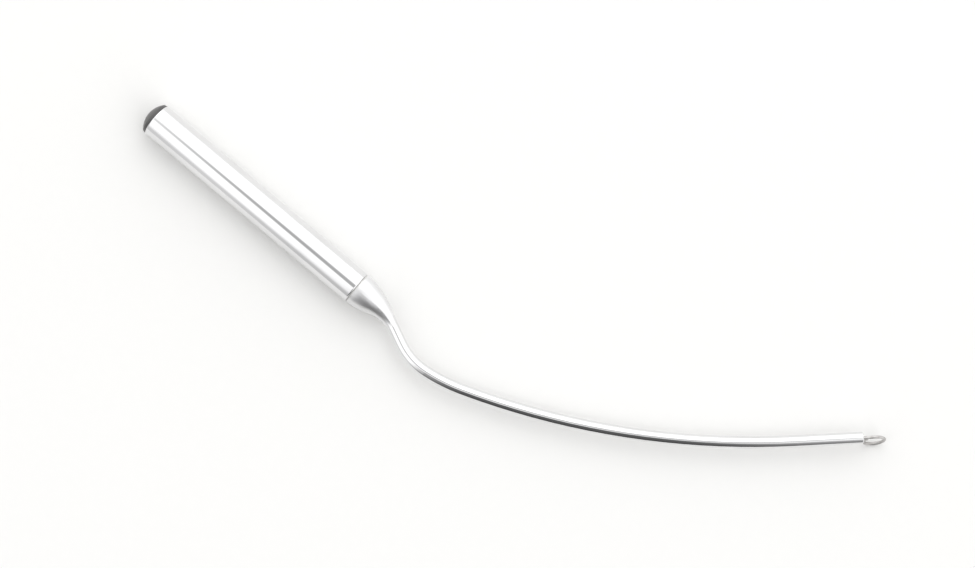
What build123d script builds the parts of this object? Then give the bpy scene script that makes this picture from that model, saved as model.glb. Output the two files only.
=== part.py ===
from build123d import *
from math import asin, atan2, cos, hypot, pi, radians, sin
import os

# An inoculating loop: a hollow metal handle, a bent shank whose flared neck screws into its front, a wire
# loop held in the shank's tip, and a dark domed plug in the handle's tail. Sizes are in millimetres.
#
# X is the handle's axis, and the origin is the middle of the handle tube. The shank leaves the front of
# the handle towards +X and sweeps towards +Y. The tool lies as it rests on a table: the handle and the
# rim of the wire loop both touch a plane that is half a handle diameter below the axis.

# Handle tube
HANDLE_D = 5.0
HANDLE_LENGTH = 37.4
HANDLE_BORE_D = 3.8
RIM_ROUND = 0.2
RIM_SHARE_OF_WALL = 0.4  # the most of the wall that a rounded edge may take
BORE_CHAMFER = 0.12

# Threaded bush, pressed into the front of the tube
BUSH_LENGTH = 8.0
BUSH_RECESS = 0.3
BUSH_CHAMFER = 0.15

# Screw thread between the bush and the shank's tang, drawn as plain rings
THREAD_D = 2.5
THREAD_PITCH = 0.45
THREAD_DEPTH = 0.25
THREAD_TURNS = 8
TANG_NECK_LENGTH = 0.9  # plain length between the shoulder and the first turn
TANG_NECK_D = 1.9
TANG_POINT_LENGTH = 0.4

# Washer between the shank's shoulder and the rim of the tube
WASHER_THICKNESS = 0.15
WASHER_INSET = 0.18  # how far the washer's edge lies inside the tube's outside

# Neck, heel and shank: one rod, bent in one plane
SHOULDER_STEP = 0.05  # how far the shoulder lies inside the tube's outside
SHOULDER_LAND = 0.25
SHANK_D = 1.75
NECK_LEAD = 3.0
NECK_BEND_R = 10.5
NECK_BEND_DEG = 24.7
NECK_SECTIONS = 9
NECK_RUN = 2.65
HEEL_BEND_R = 9.6
HEEL_BEND_DEG = 31.5
EASE_R = 26.7
EASE_DEG = 12.7
SWEEP_R = 118.0
SWEEP_DEG = 23.6
TIP_RUN = 9.55
TIP_CHAMFER = 0.15
TIP_SHARE_OF_WALL = 0.4  # the most of the wall round the wire that the chamfer may take

# Wire loop
WIRE_D = 0.45
WIRE_SEAT = 2.5
LOOP_MEAN_R = 1.5
LOOP_LEAD = 0.05  # clear distance between the shank's mouth and the loop's outside
LOOP_TURN_DEG = 314.0  # how far the wire curls before it meets its own stem
LOOP_TILT_DEG = 66.0  # angle between the loop's plane and the bend plane

# Domed plug in the tail of the tube, held by a rubber ring
PLUG_RIM_STEP = 0.04  # how far the plug's rim lies inside the tube's outside
PLUG_RIM_LENGTH = 0.35
PLUG_RIM_DRAFT = 0.06  # how much the rim narrows towards the dome, radial
PLUG_DOME_HEIGHT = 0.95
PLUG_SPIGOT_LENGTH = 5.0
PLUG_LEAD_CHAMFER = 0.3
RING_GROOVE_WIDTH = 0.6
RING_GROOVE_DEPTH = 0.4
RING_FROM_RIM = 2.2

# Clearances
SEAT_GAP = 0.02  # between faces that seat on each other across a joint
RUNNING_FIT = 0.05  # radial, shaft in hole
RING_GAP = 0.01  # radial, rubber ring against metal

handle_r = HANDLE_D / 2
handle_wall = (HANDLE_D - HANDLE_BORE_D) / 2
rim_x = HANDLE_LENGTH / 2
tail_x = -HANDLE_LENGTH / 2
shoulder_x = rim_x + WASHER_THICKNESS + 2 * SEAT_GAP
shoulder_d = HANDLE_D - 2 * SHOULDER_STEP
bush_hole_d = THREAD_D + 2 * RUNNING_FIT
crest_d = THREAD_D
root_d = THREAD_D - 2 * THREAD_DEPTH
spigot_d = HANDLE_BORE_D - 2 * RUNNING_FIT
groove_d = spigot_d - 2 * RING_GROOVE_DEPTH


def rod(diameter, length, x):
    """A round bar along X that starts at x."""
    bar = Cylinder(diameter / 2, length, align=(Align.CENTER, Align.CENTER, Align.MIN))
    return Location((x, 0, 0), (0, 90, 0)) * bar


def turned(points):
    """A solid turned about X from its half outline, a list of (x, radius) points."""
    outline = Polyline(*[(x, r) for x, r in points], close=True)
    return revolve(make_face(outline), axis=Axis.X)


def edges_at(shape, x):
    """The round edges of a turned shape that lie in the plane at x."""
    return [e for e in shape.edges() if abs(e.center().X - x) < 1e-6 and e.geom_type == GeomType.CIRCLE]


def outer_edge(shape, x):
    return max(edges_at(shape, x), key=lambda e: e.radius)


def inner_edge(shape, x):
    return min(edges_at(shape, x), key=lambda e: e.radius)


def handle_tube():
    tube = rod(HANDLE_D, HANDLE_LENGTH, tail_x) - rod(HANDLE_BORE_D, HANDLE_LENGTH, tail_x)
    rim_round = min(RIM_ROUND, RIM_SHARE_OF_WALL * handle_wall)
    bore_chamfer = min(BORE_CHAMFER, RIM_SHARE_OF_WALL * handle_wall)
    tube = fillet([outer_edge(tube, tail_x), outer_edge(tube, rim_x)], rim_round)
    return chamfer([inner_edge(tube, tail_x), inner_edge(tube, rim_x)], bore_chamfer)


def front_bush():
    front_x = rim_x - BUSH_RECESS
    back_x = front_x - BUSH_LENGTH
    bush = rod(HANDLE_BORE_D, BUSH_LENGTH, back_x)
    bush = chamfer([outer_edge(bush, back_x), outer_edge(bush, front_x)], BUSH_CHAMFER)
    bush -= rod(bush_hole_d, BUSH_LENGTH, back_x)
    return bush


def neck_washer():
    x = rim_x + SEAT_GAP
    outer_d = HANDLE_D - 2 * WASHER_INSET
    return rod(outer_d, WASHER_THICKNESS, x) - rod(bush_hole_d, WASHER_THICKNESS, x)


def threaded_tang():
    """The tang behind the shoulder: a plain relief, the thread's rings, then a turned-down point."""
    relief_x = shoulder_x - TANG_NECK_LENGTH
    thread_length = THREAD_TURNS * THREAD_PITCH
    thread_end = relief_x - thread_length
    point_x = thread_end - TANG_POINT_LENGTH
    outline = [(shoulder_x + SHOULDER_LAND, 0), (shoulder_x + SHOULDER_LAND, TANG_NECK_D / 2)]
    outline.append((relief_x, TANG_NECK_D / 2))
    for turn in range(THREAD_TURNS):
        start = relief_x - turn * THREAD_PITCH
        outline.append((start, root_d / 2))
        outline.append((start - THREAD_PITCH / 2, crest_d / 2))
    outline.append((thread_end, root_d / 2))
    outline.append((point_x, root_d / 2 - TANG_POINT_LENGTH / 2))
    outline.append((point_x, 0))
    return turned(outline)


def ogee(share):
    """A smooth fall from 1 to 0 as share goes from 0 to 1, level at both ends."""
    return (1 + cos(pi * min(max(share, 0), 1))) / 2


def neck_line():
    """The neck's centreline in the bend plane: straight out of the handle, then down."""
    lead = Line((shoulder_x, 0), (shoulder_x + NECK_LEAD, 0))
    bend = JernArc(lead @ 1, lead % 1, NECK_BEND_R, -NECK_BEND_DEG)
    return Wire([lead.edge(), bend.edge()])


def rod_line(neck):
    """The rod's centreline beyond the neck: round the heel, along the sweep, then straight to the mouth."""
    run = Line(neck @ 1, neck @ 1 + NECK_RUN * (neck % 1))
    heel = JernArc(run @ 1, run % 1, HEEL_BEND_R, HEEL_BEND_DEG)
    ease = JernArc(heel @ 1, heel % 1, EASE_R, EASE_DEG)
    long_sweep = JernArc(ease @ 1, ease % 1, SWEEP_R, SWEEP_DEG)
    return Wire([run.edge(), heel.edge(), ease.edge(), long_sweep.edge()])


def across(line, distance):
    """The plane across a centreline at a distance along it, with its Z pointing on towards the tip."""
    place = line.position_at(distance, position_mode=PositionMode.LENGTH)
    heading = line.tangent_at(distance, position_mode=PositionMode.LENGTH)
    return Plane(origin=place, x_dir=(0, 0, 1), z_dir=heading)


def mouth_plane(rod_centre):
    """The plane of the mouth that the wire comes out of."""
    return across(rod_centre, rod_centre.length).offset(TIP_RUN)


def flared_neck(neck):
    """The neck, lofted through round sections that fall in an ogee from the shoulder to the rod."""
    sections = []
    for i in range(NECK_SECTIONS):
        distance = neck.length * i / (NECK_SECTIONS - 1)
        share = (distance - SHOULDER_LAND) / (neck.length - SHOULDER_LAND)
        diameter = SHANK_D + (shoulder_d - SHANK_D) * ogee(share)
        sections.append(across(neck, distance) * Circle(diameter / 2))
    return loft(sections)


def tip(mouth):
    """The rod's straight end, with its edge broken and a seat drilled for the wire."""
    behind = (Align.CENTER, Align.CENTER, Align.MAX)
    wall = (SHANK_D - WIRE_D) / 2
    end = Cylinder(SHANK_D / 2, TIP_RUN, align=behind)
    end = chamfer(end.edges().group_by(Axis.Z)[-1], min(TIP_CHAMFER, TIP_SHARE_OF_WALL * wall))
    return mouth * (end - Cylinder(WIRE_D / 2, WIRE_SEAT, align=behind))


def shank(neck, rod_centre):
    swept = sweep(across(rod_centre, 0) * Circle(SHANK_D / 2), path=rod_centre)
    return threaded_tang() + flared_neck(neck) + swept + tip(mouth_plane(rod_centre))


def loop_plane(mouth):
    """The plane of the wire loop: its X runs on from the shank, and its Y tilts up out of the bend plane."""
    along = mouth.z_dir
    sideways = Vector(0, 0, 1).cross(along)
    tilt = radians(LOOP_TILT_DEG)
    upwards = cos(tilt) * sideways + sin(tilt) * Vector(0, 0, 1)
    return Plane(origin=mouth.origin, x_dir=along, z_dir=along.cross(upwards))


def loop_wire(mouth):
    """The wire from the bottom of its seat, straight to the top of the loop and round below it."""
    top_x = LOOP_LEAD + LOOP_MEAN_R + WIRE_D / 2
    stem = Line((-WIRE_SEAT, 0), (top_x, 0))
    curl = JernArc(stem @ 1, stem % 1, LOOP_MEAN_R, -LOOP_TURN_DEG)
    route = Wire([stem.edge(), curl.edge()])
    section = Plane(origin=route @ 0, z_dir=route % 0) * Circle(WIRE_D / 2)
    return loop_plane(mouth) * sweep(section, path=route)


def roll_degrees(mouth):
    """How far the bend plane is rolled about the handle, so that the loop's rim comes down to the table."""
    middle_x = LOOP_LEAD + LOOP_MEAN_R + WIRE_D / 2
    lowest = loop_plane(mouth).from_local_coords(Vector(middle_x, -2 * LOOP_MEAN_R))
    y = lowest.Y
    z = lowest.Z - WIRE_D / 2
    return (asin(-handle_r / hypot(y, z)) - atan2(z, y)) * 180 / pi


def end_plug():
    seat_x = tail_x - SEAT_GAP
    dome_x = seat_x - PLUG_RIM_LENGTH
    pole_x = dome_x - PLUG_DOME_HEIGHT
    head_r = handle_r - PLUG_RIM_STEP - PLUG_RIM_DRAFT
    spigot_end = tail_x + PLUG_SPIGOT_LENGTH
    ring_x = tail_x + RING_FROM_RIM
    dome_r = (head_r**2 + PLUG_DOME_HEIGHT**2) / (2 * PLUG_DOME_HEIGHT)
    crown = RadiusArc((pole_x, 0), (dome_x, head_r), dome_r)
    sides = Polyline(
        (dome_x, head_r),
        (seat_x, head_r + PLUG_RIM_DRAFT),
        (seat_x, spigot_d / 2),
        (ring_x - RING_GROOVE_WIDTH / 2, spigot_d / 2),
        (ring_x - RING_GROOVE_WIDTH / 2, groove_d / 2),
        (ring_x + RING_GROOVE_WIDTH / 2, groove_d / 2),
        (ring_x + RING_GROOVE_WIDTH / 2, spigot_d / 2),
        (spigot_end - PLUG_LEAD_CHAMFER, spigot_d / 2),
        (spigot_end, spigot_d / 2 - PLUG_LEAD_CHAMFER),
        (spigot_end, 0),
        (pole_x, 0),
    )
    return revolve(make_face([crown.edge(), *sides.edges()]), axis=Axis.X)


def plug_ring():
    outer_r = HANDLE_BORE_D / 2 - RING_GAP
    inner_r = groove_d / 2 + RING_GAP
    ring = Torus((outer_r + inner_r) / 2, (outer_r - inner_r) / 2)
    return Location((tail_x + RING_FROM_RIM, 0, 0), (0, 90, 0)) * ring


def main():
    os.makedirs("parts", exist_ok=True)
    neck = neck_line()
    rod_centre = rod_line(neck)
    mouth = mouth_plane(rod_centre)
    roll = roll_degrees(mouth)
    export_step(handle_tube(), "parts/handle_tube.step")
    export_step(front_bush(), "parts/front_bush.step")
    export_step(neck_washer(), "parts/neck_washer.step")
    export_step(shank(neck, rod_centre).rotate(Axis.X, roll), "parts/shank.step")
    export_step(loop_wire(mouth).rotate(Axis.X, roll), "parts/loop_wire.step")
    export_step(end_plug(), "parts/end_plug.step")
    export_step(plug_ring(), "parts/plug_ring.step")


main()
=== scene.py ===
from math import cos, radians, sin

import bpy
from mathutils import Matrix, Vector


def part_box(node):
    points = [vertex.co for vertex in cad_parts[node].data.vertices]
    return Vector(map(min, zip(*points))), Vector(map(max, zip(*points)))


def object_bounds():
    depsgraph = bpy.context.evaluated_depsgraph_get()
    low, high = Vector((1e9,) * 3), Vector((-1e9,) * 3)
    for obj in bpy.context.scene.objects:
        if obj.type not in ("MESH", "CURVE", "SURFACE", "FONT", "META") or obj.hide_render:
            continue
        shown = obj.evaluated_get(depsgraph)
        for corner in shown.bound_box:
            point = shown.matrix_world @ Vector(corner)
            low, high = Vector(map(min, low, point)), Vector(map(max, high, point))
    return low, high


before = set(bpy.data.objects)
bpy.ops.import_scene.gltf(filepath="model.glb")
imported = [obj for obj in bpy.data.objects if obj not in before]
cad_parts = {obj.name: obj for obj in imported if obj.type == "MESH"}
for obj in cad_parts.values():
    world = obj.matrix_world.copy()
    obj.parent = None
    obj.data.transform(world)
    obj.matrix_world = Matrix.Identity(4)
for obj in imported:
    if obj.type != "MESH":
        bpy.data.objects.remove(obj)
cad_low, cad_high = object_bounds()

MM = 0.001

# The tool lies on a table and is seen from straight above, with the picture turned so that the handle
# points down to the right.
VIEW_TURN = radians(40.0)
VIEW_DISTANCE = 260 * MM
VIEW_WIDTH = 139.3 * MM  # of what the picture takes in at the height of the handle's axis
SENSOR_WIDTH = 36.0
AIM_FROM_HANDLE = Vector((32.665, 12.428, 0)) * MM  # from the handle's middle to the picture's middle

FLOOR_SIZE = 6.0
FLOOR_COLOUR = (0.86, 0.857, 0.845, 1)
FLOOR_ROUGHNESS = 0.9
FIBRE_SHADE = 0.985  # how bright the paper's darker fibres are, as a share of its colour

STEEL_COLOUR = (0.82, 0.82, 0.825, 1)
HAZE_SHADE = 0.94  # how bright the steel is where it is hazed by handling, as a share of its colour
HANDLE_GRAIN = (60, 5200, 5200)  # drawn out along the handle
SHANK_GRAIN = (1600, 1600, 1600)
BRASS_TURNING = (20000, 300, 300)  # rings round the bush

# The neck has a satin finish, which fades out into the polished rod.
SATIN_LENGTH = 8.5 * MM
SATIN_FADE = 3.0 * MM
SATIN_ROUGHNESS = 0.3

# The key light shines from beyond the picture's head. These two say how far it is to the right and
# overhead, for each step beyond the head.
KEY_RIGHT = 0.3
KEY_OVERHEAD = 1.1
KEY_DISTANCE = 0.5
KEY_SIZE = 0.34
KEY_POWER = 0.28

# The room is a bright sky with three dark shapes in it, each with how much of the light it takes away. A
# height is the Z of a direction, 1 straight up and 0 level. A nearness is the cosine of the angle round Z.
ROOM_RADIANCE = 1.35
LENS_SHADE = 0.62
LENS_EDGE_HEIGHT = 0.965
LENS_FULL_HEIGHT = 0.993
HOLDER_SHADE = 0.91
HOLDER_TURN = radians(8.0)  # how far round it stands from the picture's foot, towards the left
HOLDER_EDGE_NEARNESS = 0.743
HOLDER_FULL_NEARNESS = 0.99
HOLDER_TOP_HEIGHT = 0.975
HOLDER_FULL_HEIGHT = 0.92
WALL_SHADE = 0.44
WALL_SLANT = 0.8  # how far it stands towards the picture's foot, for each step to the left
WALL_EDGE_NEARNESS = 0.2
WALL_FULL_NEARNESS = 0.8
WALL_TOP_HEIGHT = 0.7
WALL_FULL_HEIGHT = 0.28


# ---------------------------------------------------------------- node helpers

class Graph:
    """A short way to write a material's or a world's nodes."""

    def __init__(self, tree):
        self.tree = tree

    def node(self, kind, inputs=None, **settings):
        made = self.tree.nodes.new(kind)
        for key, value in settings.items():
            setattr(made, key, value)
        for key, value in (inputs or {}).items():
            if isinstance(value, bpy.types.NodeSocket):
                self.tree.links.new(value, made.inputs[key])
            else:
                made.inputs[key].default_value = value
        return made

    def link(self, source, target):
        self.tree.links.new(source, target)

    def noise(self, vector, scale, detail=3.0, roughness=0.5):
        settings = {"Vector": vector, "Scale": scale, "Detail": detail, "Roughness": roughness}
        return self.node("ShaderNodeTexNoise", settings).outputs["Fac"]

    def stretched(self, vector, scale):
        return self.node("ShaderNodeMapping", {"Vector": vector, "Scale": scale}).outputs["Vector"]

    def map(self, value, low, high, to_low=0.0, to_high=1.0, smooth=False):
        kind = "SMOOTHSTEP" if smooth else "LINEAR"
        inputs = {"Value": value, "From Min": low, "From Max": high, "To Min": to_low, "To Max": to_high}
        return self.node("ShaderNodeMapRange", inputs, interpolation_type=kind).outputs["Result"]

    def math(self, operation, first, second=0.0):
        return self.node("ShaderNodeMath", {0: first, 1: second}, operation=operation).outputs[0]

    def colour_mix(self, share, first, second):
        """A colour that goes from the first to the second as the share goes from 0 to 1."""
        made = self.node("ShaderNodeMix", data_type="RGBA")
        for socket, value in zip((made.inputs[0], made.inputs[6], made.inputs[7]), (share, first, second)):
            if isinstance(value, bpy.types.NodeSocket):
                self.tree.links.new(value, socket)
            else:
                socket.default_value = value
        return made.outputs[2]

    def bump(self, height, strength, distance, normal=None):
        inputs = {"Height": height, "Strength": strength, "Distance": distance}
        if normal is not None:
            inputs["Normal"] = normal
        return self.node("ShaderNodeBump", inputs).outputs["Normal"]


def new_material(name):
    material = bpy.data.materials.new(name)
    material.use_nodes = True
    graph = Graph(material.node_tree)
    shader = material.node_tree.nodes["Principled BSDF"]
    place = graph.node("ShaderNodeTexCoord").outputs["Object"]
    return material, graph, shader, place


def shaded(colour, share):
    """A colour made darker, with its alpha kept."""
    return tuple(share * channel for channel in colour[:3]) + (1,)


def clothe(node, material):
    """Give a CAD node its material."""
    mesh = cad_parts[node].data
    mesh.materials.clear()
    mesh.materials.append(material)


# ---------------------------------------------------------------- materials

def polished_steel(name, grain_scale, satin_end=None):
    """Polished metal with faint polishing lines, handling haze and a fine grain.

    A shank is less polished from the handle's front as far as satin_end, a distance along X.
    """
    material, graph, shader, place = new_material(name)
    shader.inputs["Metallic"].default_value = 1.0
    lines = graph.noise(graph.stretched(place, grain_scale), 1.0, 4.0, 0.65)
    haze = graph.noise(place, 160.0, 3.0, 0.55)
    grain = graph.noise(place, 9000.0, 2.0, 0.6)
    tone = graph.colour_mix(graph.map(haze, 0.35, 0.7), STEEL_COLOUR, shaded(STEEL_COLOUR, HAZE_SHADE))
    graph.link(tone, shader.inputs["Base Color"])
    polish = graph.map(lines, 0.3, 0.7, 0.03, 0.07)
    roughness = graph.math("ADD", polish, graph.map(haze, 0.4, 0.75, 0.0, 0.05))
    if satin_end is not None:
        along = graph.node("ShaderNodeSeparateXYZ", {0: place}).outputs["X"]
        satin = graph.map(along, satin_end, satin_end - SATIN_FADE, 0.0, SATIN_ROUGHNESS, smooth=True)
        roughness = graph.math("ADD", roughness, satin)
    graph.link(roughness, shader.inputs["Roughness"])
    relief = graph.bump(lines, 0.05, 0.02 * MM)
    graph.link(graph.bump(grain, 0.03, 0.01 * MM, relief), shader.inputs["Normal"])
    return material


def dark_plug():
    material, graph, shader, place = new_material("plug_plastic")
    mottle = graph.noise(place, 900.0, 4.0, 0.6)
    tone = graph.colour_mix(mottle, (0.065, 0.065, 0.065, 1), (0.10, 0.098, 0.095, 1))
    graph.link(tone, shader.inputs["Base Color"])
    graph.link(graph.map(mottle, 0.3, 0.7, 0.28, 0.42), shader.inputs["Roughness"])
    graph.link(graph.bump(graph.noise(place, 5000.0, 2.0), 0.15, 0.02 * MM), shader.inputs["Normal"])
    return material


def rubber():
    material, graph, shader, place = new_material("ring_rubber")
    mottle = graph.noise(place, 2500.0, 3.0, 0.6)
    tone = graph.colour_mix(mottle, (0.02, 0.02, 0.02, 1), (0.04, 0.04, 0.039, 1))
    graph.link(tone, shader.inputs["Base Color"])
    graph.link(graph.map(mottle, 0.3, 0.7, 0.6, 0.8), shader.inputs["Roughness"])
    return material


def nylon():
    material, graph, shader, place = new_material("washer_nylon")
    mottle = graph.noise(place, 1800.0, 3.0, 0.55)
    tone = graph.colour_mix(mottle, (0.60, 0.595, 0.57, 1), (0.72, 0.715, 0.69, 1))
    graph.link(tone, shader.inputs["Base Color"])
    graph.link(graph.map(mottle, 0.3, 0.7, 0.45, 0.6), shader.inputs["Roughness"])
    graph.link(graph.bump(mottle, 0.1, 0.02 * MM), shader.inputs["Normal"])
    return material


def turned_brass():
    material, graph, shader, place = new_material("bush_brass")
    shader.inputs["Metallic"].default_value = 1.0
    turning = graph.noise(graph.stretched(place, BRASS_TURNING), 1.0, 3.0)
    tone = graph.colour_mix(turning, (0.60, 0.45, 0.18, 1), (0.72, 0.56, 0.27, 1))
    graph.link(tone, shader.inputs["Base Color"])
    graph.link(graph.map(turning, 0.3, 0.7, 0.2, 0.34), shader.inputs["Roughness"])
    graph.link(graph.bump(turning, 0.3, 0.02 * MM), shader.inputs["Normal"])
    return material


def loop_alloy():
    material, graph, shader, place = new_material("loop_alloy")
    shader.inputs["Metallic"].default_value = 1.0
    oxide = graph.noise(place, 1400.0, 4.0, 0.6)
    oxidised = graph.map(oxide, 0.35, 0.65)
    tone = graph.colour_mix(oxidised, (0.56, 0.55, 0.54, 1), (0.40, 0.385, 0.375, 1))
    graph.link(tone, shader.inputs["Base Color"])
    graph.link(graph.map(oxide, 0.3, 0.7, 0.25, 0.42), shader.inputs["Roughness"])
    graph.link(graph.bump(graph.noise(place, 12000.0, 2.0), 0.2, 0.01 * MM), shader.inputs["Normal"])
    return material


# ---------------------------------------------------------------- stage

def view_axes():
    """The picture's right and up directions on the table."""
    right = Vector((cos(VIEW_TURN), sin(VIEW_TURN), 0))
    up = Vector((-sin(VIEW_TURN), cos(VIEW_TURN), 0))
    return right, up


def make_camera():
    camera = bpy.data.objects.new("camera", bpy.data.cameras.new("camera"))
    bpy.context.scene.collection.objects.link(camera)
    handle_low, handle_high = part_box("handle_tube")
    aim = (Vector(handle_low) + Vector(handle_high)) / 2 + AIM_FROM_HANDLE
    camera.location = (aim.x, aim.y, VIEW_DISTANCE)
    camera.rotation_euler = (0, 0, VIEW_TURN)
    camera.data.sensor_width = SENSOR_WIDTH
    camera.data.lens = SENSOR_WIDTH * VIEW_DISTANCE / VIEW_WIDTH
    camera.data.clip_start = 0.01
    bpy.context.scene.camera = camera


def make_floor():
    mesh = bpy.data.meshes.new("floor")
    half = FLOOR_SIZE / 2
    corners = [(-half, -half, 0), (half, -half, 0), (half, half, 0), (-half, half, 0)]
    mesh.from_pydata(corners, [], [(0, 1, 2, 3)])
    floor = bpy.data.objects.new("floor", mesh)
    bpy.context.scene.collection.objects.link(floor)
    floor.location.z = cad_low[2]
    material, graph, shader, place = new_material("floor_paper")
    fibre = graph.noise(place, 700.0, 4.0)
    tone = graph.colour_mix(fibre, FLOOR_COLOUR, shaded(FLOOR_COLOUR, FIBRE_SHADE))
    graph.link(tone, shader.inputs["Base Color"])
    shader.inputs["Roughness"].default_value = FLOOR_ROUGHNESS
    mesh.materials.append(material)


def area_light(name, direction, distance, size, power):
    """A round light that faces the tool from a direction."""
    data = bpy.data.lights.new(name, "AREA")
    data.shape = "DISK"
    data.size = size
    data.energy = power
    light = bpy.data.objects.new(name, data)
    bpy.context.scene.collection.objects.link(light)
    aim = (Vector(cad_low) + Vector(cad_high)) / 2
    light.location = aim + direction.normalized() * distance
    light.rotation_euler = direction.to_track_quat("Z", "Y").to_euler()


def make_lights():
    right, up = view_axes()
    overhead = Vector((0, 0, 1))
    way = KEY_RIGHT * right + up + KEY_OVERHEAD * overhead
    area_light("key", way, KEY_DISTANCE, KEY_SIZE, KEY_POWER)


def make_world():
    """A bright room that the metal reflects.

    It has a dark lens straight above, whoever holds it at the picture's foot, and a dim wall low down at
    the picture's left.
    """
    right, up = view_axes()
    world = bpy.data.worlds.new("room")
    bpy.context.scene.world = world
    world.use_nodes = True
    graph = Graph(world.node_tree)
    background = world.node_tree.nodes["Background"]
    heading = graph.node("ShaderNodeTexCoord").outputs["Generated"]
    height = graph.node("ShaderNodeSeparateXYZ", {0: heading}).outputs["Z"]
    level = graph.node("ShaderNodeVectorMath", {0: heading, 1: (1, 1, 0)}, operation="MULTIPLY").outputs[0]
    level = graph.node("ShaderNodeVectorMath", {0: level}, operation="NORMALIZE").outputs[0]

    def towards(direction):
        dot = graph.node("ShaderNodeVectorMath", {0: level, 1: direction}, operation="DOT_PRODUCT")
        return dot.outputs["Value"]

    def darkened(share):
        return graph.math("SUBTRACT", 1.0, share)

    lens = graph.map(height, LENS_EDGE_HEIGHT, LENS_FULL_HEIGHT, 0.0, LENS_SHADE, smooth=True)

    holder_way = -cos(HOLDER_TURN) * up - sin(HOLDER_TURN) * right
    near_holder = towards(tuple(holder_way))
    beside = graph.map(near_holder, HOLDER_EDGE_NEARNESS, HOLDER_FULL_NEARNESS, smooth=True)
    below = graph.map(height, HOLDER_TOP_HEIGHT, HOLDER_FULL_HEIGHT, 0.0, HOLDER_SHADE, smooth=True)
    holder = graph.math("MULTIPLY", beside, below)

    wall_way = (-right - WALL_SLANT * up).normalized()
    near_wall = towards(tuple(wall_way))
    corner = graph.map(near_wall, WALL_EDGE_NEARNESS, WALL_FULL_NEARNESS, smooth=True)
    low = graph.map(height, WALL_TOP_HEIGHT, WALL_FULL_HEIGHT, 0.0, WALL_SHADE, smooth=True)
    far_wall = graph.math("MULTIPLY", corner, low)

    open_sky = graph.math("MULTIPLY", darkened(lens), darkened(holder))
    radiance = graph.math("MULTIPLY", open_sky, darkened(far_wall))
    graph.link(radiance, background.inputs["Color"])
    background.inputs["Strength"].default_value = ROOM_RADIANCE


def dress():
    """Give every node of the CAD model its material."""
    satin_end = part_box("handle_tube")[1][0] + SATIN_LENGTH
    clothe("handle_tube", polished_steel("handle_steel", HANDLE_GRAIN))
    clothe("shank", polished_steel("shank_steel", SHANK_GRAIN, satin_end))
    clothe("front_bush", turned_brass())
    clothe("neck_washer", nylon())
    clothe("plug_ring", rubber())
    clothe("end_plug", dark_plug())
    clothe("loop_wire", loop_alloy())


make_camera()
make_floor()
make_lights()
make_world()
dress()
bpy.context.scene.view_settings.view_transform = "Standard"
